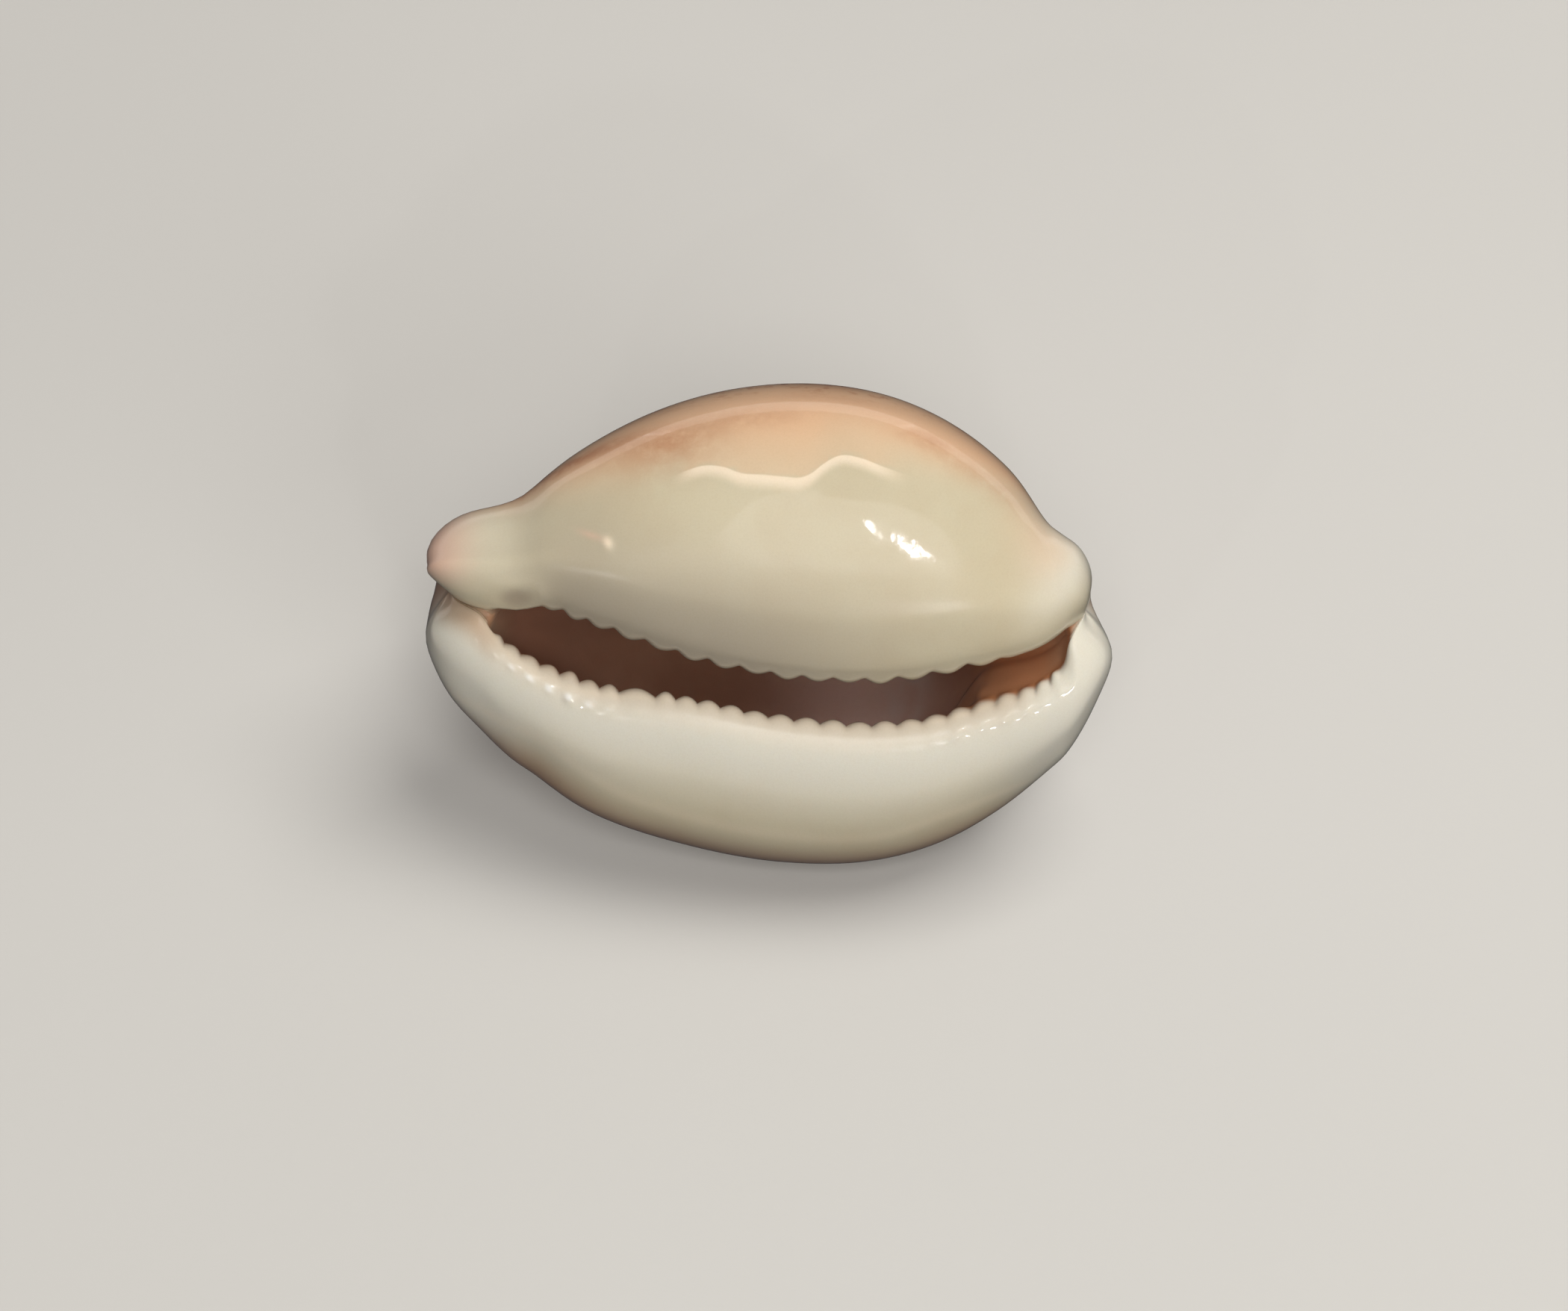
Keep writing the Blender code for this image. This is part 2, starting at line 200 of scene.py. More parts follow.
# The tan of the back begins at the glaze's edge by a step at the ridge, then grows with the height.
STEP_SHARE, STEP_RAMP = 0.34, (-0.02, 0.1)
TAN_STARTS, TAN_FULL, TAN_FULL_RIDGE, TAN_OUTER = -0.4, 3.2, 3.8, (-0.2, 3.0)
# Soft stains on the back beside the glaze: x, height, their two half lengths, and strength.
STAINS = (
    (-6.0, 5.3, 3.0, 1.4, 0.75), (-10.2, 6.9, 2.8, 0.9, 0.8), (-13.2, 6.8, 1.8, 1.1, 0.9),
    (-1.2, 6.4, 2.6, 0.9, 0.4), (8.2, 6.2, 1.5, 0.7, 0.6), (10.6, 5.4, 1.6, 0.8, 0.35),
    (13.2, 5.0, 1.4, 0.9, 0.35), (3.0, 8.6, 4.0, 0.6, 0.3),
)

# The stage, in metres and degrees, with azimuth 0 on the camera's side. The camera's drop and place
# and its target's offsets are in millimetres.
CENTRE = Vector((0.0, 0.0, 0.012))
FLOOR_HALF, FLOOR_UNDER = 2.0, 0.00002
CAMERA_ELEVATION, CAMERA_DISTANCE, CAMERA_LENS, CAMERA_DROP = 57, 0.26, 102.7, 0.42
CAMERA_AT, TARGET_RIGHT, TARGET_DROP = (0.0, 0.0, 8.0), 1.085, 2.082
WARM, WARMER = (1.0, 0.98, 0.95), (1.0, 0.97, 0.94)
NEAR_WHITE, ROSY_LIGHT = (1.0, 0.98, 0.96), (1.0, 0.9, 0.84)
# The soft boxes: name, the setting of their power, azimuths, elevation, distance, size and tint.
SOFT_BOXES = (
    ("overhead_box", "overhead", (115,), 68, 0.6, (0.35, 0.35), WARM),
    ("fill_box", "fill", (32,), 30, 0.6, (0.3, 0.3), WARM),
    ("camera_box", "camera_side", (2,), 57, 0.5, (0.2, 0.2), WARMER),
    ("front_box", "front", (-62, 0, 58), 8, 0.6, (0.35, 0.12), NEAR_WHITE),
)
# The strips behind the shell, and the height of strip that takes the full power.
REAR_AZIMUTHS, REAR_ELEVATION, REAR_DISTANCE = (140, 180, 220), 6, 0.6
REAR_LENGTH, REAR_HEIGHTS, REAR_FULL = 0.45, (0.03, 0.08, 0.13, 0.18), 0.15
# The small lamps: name, azimuth, elevation, size, and share of the glints' power. Their glow is
# made of boxes that grow by a step.
GLINTS = (
    ("glint_left", 11.4, 64.4, (0.004, 0.005), 0.2),
    ("glint_middle", 18.0, 63.6, (0.009, 0.006), 0.55),
    ("glint_right", 22.4, 63.8, (0.005, 0.004), 0.2),
    ("glint_beads", -24.0, 28.0, (0.005, 0.005), 1.2),
    ("glint_lip", 13.0, 31.0, (0.020, 0.012), 2.2),
)
GLINT_DISTANCE = 0.35
GLOW_AT, GLOW_LAYERS, GLOW_FIRST, GLOW_STEP = (18, 63, 0.36), 5, (0.03, 0.02), (0.024, 0.016)
GLOW_FULL_AREA = 0.01


def mix(a, b, share):
    return a + (b - a) * share


def ramp(value, low, high):
    """0 where the value is low and 1 where it is high, eased between. Low may be the larger one."""
    share = np.clip((value - low) / (high - low), 0, 1)
    return share * share * (3 - 2 * share)


def merged(a, b, sharpness=ROUND_JOIN):
    """The larger of two radii, with the crease between them rounded off."""
    a, b = np.maximum(a, 0), np.maximum(b, 0)
    return (a**sharpness + b**sharpness) ** (1 / sharpness)


def reach(x, peak, front, rear):
    """0 at the peak, 1 at either end."""
    return np.where(x < peak, (peak - x) / front, (x - peak) / rear)


def lip_size(x):
    """How large the lips are: they narrow towards both ends."""
    along = reach(x, PEAK_X, HALF_LENGTH + PEAK_X, HALF_LENGTH - PEAK_X)
    return mix(LIP, LIP_END, ramp(along, *LIP_NARROWS))


def smooth_curve(stations, values, x):
    """A smooth curve through the values at the stations."""
    stations, values = np.array(stations), np.array(values)
    slopes = np.gradient(values, stations)
    i = np.clip(np.searchsorted(stations, x) - 1, 0, len(stations) - 2)
    step = stations[i + 1] - stations[i]
    t = np.clip((x - stations[i]) / step, 0, 1)
    start = (2 * t**3 - 3 * t**2 + 1) * values[i] + (t**3 - 2 * t**2 + t) * step * slopes[i]
    end = (3 * t**2 - 2 * t**3) * values[i + 1] + (t**3 - t**2) * step * slopes[i + 1]
    return start + end


def bell(distance, width):
    """1 at no distance, falling away on both sides."""
    return np.exp(-((distance / width) ** 2))


def waves(distance, rows):
    return sum(height * bell(distance - at, width) for at, width, height in rows)


class Section:
    """The sections' sizes along one line of key points, on one side: 1 outer lip, -1 inner lip."""

    def __init__(self, x_outer, x_inner, side, own_share=1):
        self.side = side
        self.share = own_share if side > 0 else 1 - own_share
        x = self.x = mix(x_inner, x_outer, self.share)
        along = reach(x, PEAK_X, HALF_LENGTH + PEAK_X, HALF_LENGTH - PEAK_X)
        front = x < PEAK_X
        outer = smooth_curve(SLIT_X, SLIT_OUTER_EDGE, x)
        inner = smooth_curve(SLIT_X, SLIT_INNER_EDGE, x)
        self.middle = (outer + inner) / 2
        self.half_slit = (outer - inner) / 2
        self.centre = mix(CENTRE_HEIGHT, CENTRE_HEIGHT_END, along**CENTRE_POWER)
        self.arch = np.where(front, ARCH_FRONT, ARCH_REAR) * along**ARCH_POWER
        self.lip = lip_size(x)

        back_along = reach(x, PEAK_X, BACK_FRONT, BACK_REAR)
        power = np.where(front, BACK_POWER_FRONT, BACK_POWER_REAR)
        self.swell = np.sqrt(np.clip(1 - back_along**power, 0, 1))
        half_width = BACK_LIP_SIDE if side > 0 else BACK_INNER_SIDE
        self.back_out = (half_width - side * self.middle) * self.swell
        self.rim_out = self.rim(RIM_INNER_SIDE)
        if side > 0:
            self.rim_out = self.rim(RIM_LIP_SIDE, RIM_LIP_PEAK_X, RIM_LIP_POWER)
        self.rim_up = self.rim(RIM_OVER)

        cap = np.where(x < 0, CAP_LENGTH, mix(CAP_LENGTH_SPIRE, CAP_LENGTH, self.share))
        into_cap = np.clip((np.abs(x) - HALF_LENGTH + cap) / cap, 0, 1)
        self.closing = (1 - into_cap**CAP_POWER) ** (1 / CAP_ROUND)
        hollow_along = reach(x, PEAK_X, HOLLOW_FRONT + PEAK_X, HOLLOW_REAR - PEAK_X)
        self.hollow = np.sqrt(np.clip(1 - np.clip(hollow_along, 0, 1) ** HOLLOW_POWER, 0, 1))
        self.groove = ramp(x, *GROOVE_FRONT) + ramp(x, *GROOVE_REAR)

    def rim(self, sizes, peak=PEAK_X, power=RIM_POWER):
        size, front, rear = sizes
        along = reach(self.x, peak, HALF_LENGTH + peak, HALF_LENGTH - peak)
        return mix(np.where(self.x < peak, front, rear), size, 1 - along**power)

    def radius(self, angle):
        """Outside radius about the centre: the back and the rim, smoothly merged."""
        across, up = abs(math.sin(math.radians(angle))), abs(math.cos(math.radians(angle)))
        if angle >= 90:
            power, back, rim = ROUND_BACK, BACK_HEIGHT * self.swell, self.rim_up
        else:
            power, back, rim = ROUND_BASE, BACK_DEPTH * self.swell, self.centre - self.arch

        def oval(width, height):
            width, height = np.maximum(width, 1e-6), np.maximum(height, 1e-6)
            return ((across / width) ** power + (up / height) ** power) ** (-1 / power)

        return merged(oval(self.back_out, back), oval(self.rim_out, rim))

    def polar(self, angle, radius):
        turn = math.radians(angle)
        y = self.side * radius * math.sin(turn)
        return self.middle + y, self.centre - radius * math.cos(turn)

    def outside(self, angle):
        return self.placed(*self.polar(angle, self.radius(angle)))

    def inside(self, angle):
        wall = mix(WALL_FRONT, WALL_REAR, ramp(self.x, -WALL_RUN, WALL_RUN))
        start, end = WALL_THICKENS
        wall *= 1 + WALL_BESIDE_SLIT * min(max((start - angle) / (start - end), 0), 1)
        room = self.hollow * (self.radius(angle) - wall)
        y, z = self.polar(angle, merged(room, HOLLOW_OVER_SLIT * self.half_slit, HOLLOW_JOIN))
        floor = self.base() + GROOVE_DEPTH * (1 - GROOVE_ROUND * math.cos(math.radians(angle)))
        return self.placed(y, mix(z, floor, self.groove))

    def base(self):
        """Height of the base beside the slit."""
        return self.polar(LIP_ANGLE, self.radius(LIP_ANGLE))[1]

    def lip_edge(self, out, up, undercut):
        out = self.half_slit + (out + undercut * self.hollow) * self.lip
        up = up * self.lip
        up = mix(up, GROOVE_DEPTH * (1 - np.exp(-up / GROOVE_DEPTH)), self.groove)
        return self.placed(self.middle + self.side * out, self.base() + up)

    def placed(self, y, z):
        """Close the section into its cap, and draw the canal mouth back between the lobes."""
        y = self.middle + (y - self.middle) * self.closing
        z = self.centre + (z - self.centre) * self.closing
        from_mouth = np.hypot(y - self.middle, NOTCH_STRETCH * np.maximum(z - self.centre, 0))
        mouth = bell(from_mouth, NOTCH_WIDTH)
        notch = np.where(self.x < 0, NOTCH_FRONT, -NOTCH_REAR) * mouth
        lead = np.where(self.x < 0, LOBE_LEAD_FRONT * self.share, -LOBE_LEAD_REAR * (1 - self.share))
        ends = ramp(np.abs(self.x), HALF_LENGTH - NOTCH_RUN, HALF_LENGTH)
        return np.stack([self.x + ends * (notch + lead * (1 - mouth)), y, z], -1)


def half_section(x_outer, x_inner, side):
    """Key points of one side, from the back round the lip to the roof."""

    def at(share=1):
        return Section(x_outer, x_inner, side, share)

    return [
        *(at(share).outside(angle) for angle, share, _ in OUTSIDE_KEYS),
        *(at().lip_edge(out, up, undercut) for out, up, undercut, _ in LIP_KEYS),
        *(at(share).inside(angle) for angle, share, _ in HOLLOW_KEYS),
    ]


def spline_columns(keys, counts):
    """Columns of points along the closed cubic B-spline at the keys, and the column of each key."""
    columns, starts = [], []
    for k, count in enumerate(counts):
        before, here, after, beyond = (keys[(k + step) % len(keys)] for step in (-1, 0, 1, 2))
        starts.append(len(columns))
        for t in np.arange(count) / count:
            columns.append(
                ((1 - t) ** 3 * before + (3 * t**3 - 6 * t**2 + 4) * here
                 + (-3 * t**3 + 3 * t**2 + 3 * t + 1) * after + t**3 * beyond) / 6
            )
    return np.stack(columns, 1), starts


def stations(per_tooth, cap_count):
    """Where the sections cross the two lips, and each section's place along the teeth, 0 to 1."""
    count = OUTER_TEETH * per_tooth
    place = np.arange(count + 1) / count
    lips = []
    for teeth_at in (OUTER_TEETH_AT, INNER_TEETH_AT):
        toothed = smooth_curve(*zip(*teeth_at), place * teeth_at[-1][0])
        first, last = toothed[0], toothed[-1]
        cap = np.sin(np.pi / 2 * np.arange(1, cap_count + 1) / cap_count)
        front, rear = mix(first, -HALF_LENGTH, cap)[::-1], mix(last, HALF_LENGTH, cap)
        lips.append(np.concatenate([front, toothed, rear]))
    place = np.concatenate([np.full(cap_count, 0.0), place, np.full(cap_count, 1.0)])
    return lips[0], lips[1], place


def shell_surface(per_tooth, cap_count):
    """The smooth surface without its teeth, as rings of points, and what its finish follows."""
    x_outer, x_inner, place = stations(per_tooth, cap_count)
    outer_keys = half_section(x_outer, x_inner, 1)
    inner_keys = half_section(x_outer, x_inner, -1)
    crown = Section(x_outer, x_inner, 1, 0.5)
    keys = [crown.outside(180), *outer_keys, crown.inside(180), *inner_keys[::-1]]
    counts = [key[-1] for key in (*OUTSIDE_KEYS, *LIP_KEYS, *HOLLOW_KEYS)]
    counts = [CROWN_COLUMNS, *counts, ROOF_COLUMNS, *counts[-2::-1], CROWN_COLUMNS]
    points, starts = spline_columns(np.array(keys), counts)

    # Distance from the slit's edge along each ring, on its own side of the crown and the roof.
    edge_key = 1 + len(OUTSIDE_KEYS) + SLIT_EDGE_KEY
    edges = starts[edge_key], starts[len(keys) - edge_key]
    roof = starts[1 + len(outer_keys)]
    steps = np.linalg.norm(np.diff(points, axis=1, append=points[:, :1]), axis=-1)
    walked = np.concatenate([np.zeros((len(points), 1)), np.cumsum(steps, 1)], 1)[:, :-1]
    on_outer = np.arange(points.shape[1]) < roof
    distance = np.where(
        on_outer, walked[:, edges[0], None] - walked, walked - walked[:, edges[1], None]
    )
    return points, place, on_outer, distance


def eased_bends(points, distance):
    """The surface with its tight bends eased: where the flat base turns up, and round both ends,
    where each pair of steps draws neighbours together and spreads them, to keep the size."""
    away = ramp(distance, *EASE_OUT_FROM)
    from_middle = np.abs(points[..., 0] - EASE_MIDDLE_X)
    ends = np.maximum(away, ramp(from_middle, *EASE_SLIT_ENDS)) * ramp(from_middle, *EASE_ENDS)
    shoulder = away * ramp(distance, *EASE_OUT_TO) * (1 - EASE_LESS_AT_ENDS * ends) / 2
    inside = ramp(distance, *EASE_INSIDE) / 2

    def around(share):
        """Towards the neighbours on the same ring."""
        between = (np.roll(points, -1, 1) + np.roll(points, 1, 1)) / 2
        return points + share[..., None] * (between - points)

    def along(share):
        """Towards the neighbours on the rings before and after."""
        moved = points.copy()
        between = (points[:-2] + points[2:]) / 2
        moved[1:-1] += share[1:-1, :, None] * (between - points[1:-1])
        return moved

    for _ in range(EASE_ROUNDS):
        points = around(shoulder)
        points = along(inside)
    for share in EASE_PAIR * EASE_END_ROUNDS:
        points = around(share * ends)
        points = along(share * ends)
    return points


def outward(points):
    along = np.gradient(points, axis=0)
    around = np.roll(points, -1, 1) - np.roll(points, 1, 1)
    normal = np.cross(along, around)
    return normal / np.maximum(np.linalg.norm(normal, axis=-1, keepdims=True), 1e-9)


def tooth_fields(points, place, on_outer, distance):
    """Each point's tooth, counted along its lip, and how strongly the tooth and its bead rise."""
    from_edge = distance * LIP / lip_size(points[..., 0])
    outer = place * OUTER_TEETH
    broad = (outer > BROAD_TOOTH) & (outer < BROAD_TOOTH + 2)
    outer = np.where(broad, BROAD_TOOTH + (outer - BROAD_TOOTH) / 2, outer)
    slot = np.where(on_outer, outer[:, None], INNER_SLOTS_FROM + (place * INNER_TEETH)[:, None])

    ends = ramp(place, *TEETH_START) * ramp(place, *TEETH_END)
    lower = mix(OUTER_RISE_FROM, 1, ramp(place, *OUTER_RISE))
    lower *= mix(1, OUTER_SINK_TO, ramp(place, *OUTER_SINK))
    outer_rise = np.maximum(smooth_curve(*zip(*OUTER_REACH), from_edge), 0) * (ends * lower)[:, None]
    inner_rise = np.maximum(smooth_curve(*zip(*INNER_REACH), from_edge), 0)
    inner_rise *= (ends * ramp(place, *INNER_FADE))[:, None]
    strength = np.where(on_outer, outer_rise, inner_rise)

    clear = ends * (BEAD_LEAST + waves(place, BEADS_CLEAR))
    beads = on_outer * bell(from_edge - BEAD_DISTANCE, BEAD_WIDTH) * clear[:, None]
    return slot, strength, beads


def glaze_field(points, on_outer):
    """Distance above the edge of the glaze, and where that edge stands up as a ridge."""
    x, z = points[..., 0], points[..., 2]
    inner = z - smooth_curve(*zip(*GLAZE), x)
    outer = z - smooth_curve(*zip(*LIP_GLAZE), x)
    crisp = ramp(x, *RIDGE_STARTS) * ramp(x, *RIDGE_ENDS) * ~on_outer
    return np.where(on_outer, outer, inner), crisp


def back_field(glaze, crisp, on_outer):
    """How far the surface has turned from the glazed base to the tan of the back: 0 to 1."""
    step = STEP_SHARE * crisp * ramp(glaze, *STEP_RAMP)
    inner = step + (1 - step) * ramp(glaze, TAN_STARTS, mix(TAN_FULL, TAN_FULL_RIDGE, crisp))
    return np.where(on_outer, ramp(glaze, *TAN_OUTER), inner)


def stain_field(points, on_outer):
    x, z = points[..., 0], points[..., 2]
    total = np.zeros(x.shape)
    for at, height, long, wide, strength in STAINS:
        total += strength * bell(x - at, long) * bell(z - height, wide)
    return np.clip(total, 0, 1) * ~on_outer


def small_relief(points, distance, on_outer, glaze, crisp):
    """Height of the small marks over the smooth surface, in millimetres."""
    x, outside = points[..., 0], distance > 0
    inner = outside & ~on_outer

    def mark(at, from_edge, long, wide, height, slant=0.0):
        return height * bell(x - at, long) * bell(distance - from_edge - slant * (x - at), wide)

    relief = np.where(on_outer, waves(distance, OUTER_SWELL), waves(distance, INNER_SWELL))
    relief *= outside * ramp(x, *SWELL_STARTS) * ramp(x, *SWELL_ENDS)
    above, below = (bell(glaze + RIDGE_BELOW, width) for width in RIDGE_WIDTHS)
    relief += RIDGE_HEIGHT * crisp * np.where(glaze > -RIDGE_BELOW, above, below)
    relief += inner * (mark(*FLECK, FLECK_SLANT) + mark(*DROP))
    from_pit = np.hypot(PIT_STRETCH * (x - PIT_AT[0]), distance - PIT_AT[1])
    relief += ~on_outer * waves(from_pit, PIT_WAVES)
    crease = waves(distance, CREASE_WAVES) * ramp(x, *CREASE_STARTS) * ramp(x, *CREASE_ENDS)
    return relief + inner * crease


def to_world(points):
    """From the shell frame in millimetres to where the shell lies, in metres."""
    lie = np.array(Euler((math.radians(ROLL), math.radians(PITCH), math.radians(SWING))).to_matrix())
    return (points @ lie.T + (-FOOTPRINT_MIDDLE[0], -FOOTPRINT_MIDDLE[1], SEAT_DISTANCE)) * MM


def shell_mesh(per_tooth, cap_count):
    """The closed shell without its teeth, with the fields that teeth and finish follow."""
    points, place, on_outer, distance = shell_surface(per_tooth, cap_count)
    points = eased_bends(points, distance)
    slot, strength, beads = tooth_fields(points, place, on_outer, distance)
    glaze, crisp = glaze_field(points, on_outer)
    relief = small_relief(points, distance, on_outer, glaze, crisp)
    world = to_world(points + outward(points) * relief[..., None])
    world[..., 2] = np.maximum(world[..., 2], 0)

    rows, columns = points.shape[0] - 2, points.shape[1]
    index = np.arange(rows * columns).reshape(rows, columns)
    following = np.roll(index, -1, 1)
    quads = np.stack([index[:-1], index[1:], following[1:], following[:-1]], -1).reshape(-1, 4)
    front, rear = rows * columns, rows * columns + 1
    faces = quads.tolist()
    faces += [(front, a, b) for a, b in zip(index[0].tolist(), following[0].tolist())]
    faces += [(rear, b, a) for a, b in zip(index[-1].tolist(), following[-1].tolist())]

    def gathered(field):
        flat = field[1:-1].reshape(rows * columns, *field.shape[2:])
        return np.concatenate([flat, field[:1, 0], field[-1:, 0]])

    mesh = bpy.data.meshes.new(SHELL)
    mesh.from_pydata(gathered(world).tolist(), [], faces)
    fields = {
        "tooth_slot": slot, "tooth_strength": strength, "tooth_beads": beads,
        "lip_distance": np.clip(distance, -FAR_FROM_LIP, FAR_FROM_LIP),
        "glaze": glaze, "crisp": crisp, "back": back_field(glaze, crisp, on_outer),
        "stain": stain_field(points, on_outer), "outer": np.broadcast_to(on_outer, slot.shape),
    }
    for name, field in fields.items():
        layer = mesh.attributes.new(name, "FLOAT", "POINT")
        layer.data.foreach_set("value", gathered(field).astype(np.float32))
    layer = mesh.attributes.new("shell_point", "FLOAT_VECTOR", "POINT")
    layer.data.foreach_set("vector", gathered(points).astype(np.float32).ravel())
    mesh.shade_smooth()
    if mesh.validate():
        raise RuntimeError("the shell's surface has faulty faces")
    return mesh


class NodeWriter:
    """Adds nodes to a tree in one line each, and joins their sockets by name or number. Its ramp and
    bell are those of the mesh, made of nodes."""

    def __init__(self, tree):
        self.tree = tree

    def add(self, kind, inputs=(), **settings):
        node = self.tree.nodes.new(kind)
        for name, value in settings.items():
            setattr(node, name, value)
        for name, value in dict(inputs).items():
            socket = next((s for s in node.inputs if s.enabled and s.name == name), None)
            socket = socket or node.inputs[name]
            if isinstance(value, bpy.types.NodeSocket):
                self.tree.links.new(value, socket)
            else:
                socket.default_value = value
        return node

    def out(self, kind, inputs=(), output=None, **settings):
        node = self.add(kind, inputs, **settings)
        live = [socket for socket in node.outputs if socket.enabled]
        return next(s for s in live if s.name == output) if output else live[0]

    def math(self, operation, *values):
        return self.out("ShaderNodeMath", enumerate(values), operation=operation)

    def times(self, *values):
        product = values[0]
        for value in values[1:]:
            product = self.math("MULTIPLY", product, value)
        return product

    def plus(self, a, b):
        return self.math("ADD", a, b)

    def less(self, share):
        """What the share leaves of 1."""
        return self.math("SUBTRACT", 1.0, share)

    def apart(self, value, other):
        return self.math("ABSOLUTE", self.math("SUBTRACT", value, other))

    def bell(self, value, at, width):
        off = self.math("DIVIDE", self.math("SUBTRACT", value, at), width)
        return self.math("EXPONENT", self.times(off, off, -1.0))

    def ramp(self, value, low, high):
        inputs = {"Value": value, "From Min": low, "From Max": high}
        return self.out("ShaderNodeMapRange", inputs, "Result", interpolation_type="SMOOTHSTEP")

    def blend(self, share, a, b, mode="MIX"):
        inputs = {"Factor": share, "A": a, "B": b}
        return self.out("ShaderNodeMix", inputs, "Result", data_type="RGBA", blend_type=mode)

    def noise(self, place, scale, detail=2.0, roughness=0.5, distortion=0.0):
        inputs = {
            "Vector": place, "Scale": scale, "Detail": detail, "Roughness": roughness,
            "Distortion": distortion,
        }
        return self.out("ShaderNodeTexNoise", inputs, "Fac")

    def bump(self, height, distance, strength=1.0, under=None):
        """A normal bent by the height, over the normal under it."""
        inputs = {"Strength": strength, "Distance": distance, "Height": height}
        if under:
            inputs["Normal"] = under
        return self.out("ShaderNodeBump", inputs)

    def attribute(self, name, output="Fac"):
        """A field of the mesh, in a material."""
        return self.out("ShaderNodeAttribute", (), output, attribute_name=name)

    def crest(self, slot):
        """1 at the top of each tooth, 0 between two teeth."""
        return self.math("ABSOLUTE", self.math("SINE", self.times(slot, math.pi)))


def tooth_tree():
    """Raises the teeth: each point moves along its normal by its tooth's height, strength and wave."""
    tree = bpy.data.node_groups.new("Raise teeth", "GeometryNodeTree")
    face = tree.interface
    for name, kind in (
        ("Shell", "Geometry"), ("Tooth Height", "Float"), ("Tooth Roundness", "Float"),
        ("Bead Height", "Float"), ("Height Variation", "Float"), ("Seed", "Int"), ("Finish", "Material"),
    ):
        face.new_socket(name, in_out="INPUT", socket_type="NodeSocket" + kind)
    face.new_socket("Shell", in_out="OUTPUT", socket_type="NodeSocketGeometry")
    write = NodeWriter(tree)
    given = tree.nodes.new("NodeGroupInput").outputs
    slot, strength, beads = (
        write.out("GeometryNodeInputNamedAttribute", {"Name": name}, "Attribute", data_type="FLOAT")
        for name in ("tooth_slot", "tooth_strength", "tooth_beads")
    )
    crest = write.crest(slot)
    wave = write.times(write.math("POWER", crest, given["Tooth Roundness"]), 2.0)
    chance = write.out(
        "FunctionNodeRandomValue",
        {"Min": -1.0, "Max": 1.0, "ID": write.math("FLOOR", slot), "Seed": given["Seed"]},
        data_type="FLOAT",
    )
    own = write.plus(write.times(chance, given["Height Variation"]), 1.0)
    relief = write.times(write.math("SUBTRACT", write.times(wave, own), 1.0), strength)
    bead = write.times(write.math("POWER", crest, 3.0), beads, write.math("POWER", own, 3.0))
    rise = write.plus(
        write.times(relief, given["Tooth Height"]), write.times(bead, given["Bead Height"])
    )
    offset = write.add(
        "ShaderNodeVectorMath", {0: write.out("GeometryNodeInputNormal")}, operation="SCALE"
    )
    tree.links.new(rise, offset.inputs["Scale"])
    kept = write.out(
        "GeometryNodeStoreNamedAttribute",
        {"Geometry": given["Shell"], "Name": "tooth_relief", "Value": relief},
        data_type="FLOAT",
    )
    moved = write.out("GeometryNodeSetPosition", {"Geometry": kept, "Offset": offset.outputs["Vector"]})
    whole = write.out("GeometryNodeRealizeInstances", {"Geometry": moved})
    dressed = write.out("GeometryNodeSetMaterial", {"Geometry": whole, "Material": given["Finish"]})
    tree.links.new(dressed, tree.nodes.new("NodeGroupOutput").inputs[0])
    return tree


def raise_teeth(shell, form, finish, context):
    """Run the teeth's tree over the shell, and keep the result as its plain mesh."""
    tree = tooth_tree()
    modifier = shell.modifiers.new("Teeth", "NODES")
    modifier.node_group = tree
    values = {
        "Tooth Height": form.tooth_height, "Tooth Roundness": form.tooth_roundness,
        "Bead Height": form.bead_height, "Height Variation": form.tooth_variation,
        "Seed": form.seed, "Finish": finish,
    }
    for item in tree.interface.items_tree:
        if item.name in values:
            modifier[item.identifier] = values[item.name]
    context.view_layer.update()
    graph = context.evaluated_depsgraph_get()
    baked = bpy.data.meshes.new_from_object(
        shell.evaluated_get(graph), preserve_all_data_layers=True, depsgraph=graph
    )
    shell.modifiers.clear()
    smooth = shell.data
    shell.data = baked
    bpy.data.meshes.remove(smooth)
    bpy.data.node_groups.remove(tree)
    if "tooth_relief" not in baked.attributes or not baked.materials:
        raise RuntimeError("the teeth were not raised")


def new_material(name):
    finish = bpy.data.materials.new(name)
    finish.use_nodes = True
    finish.node_tree.nodes.clear()
    return finish


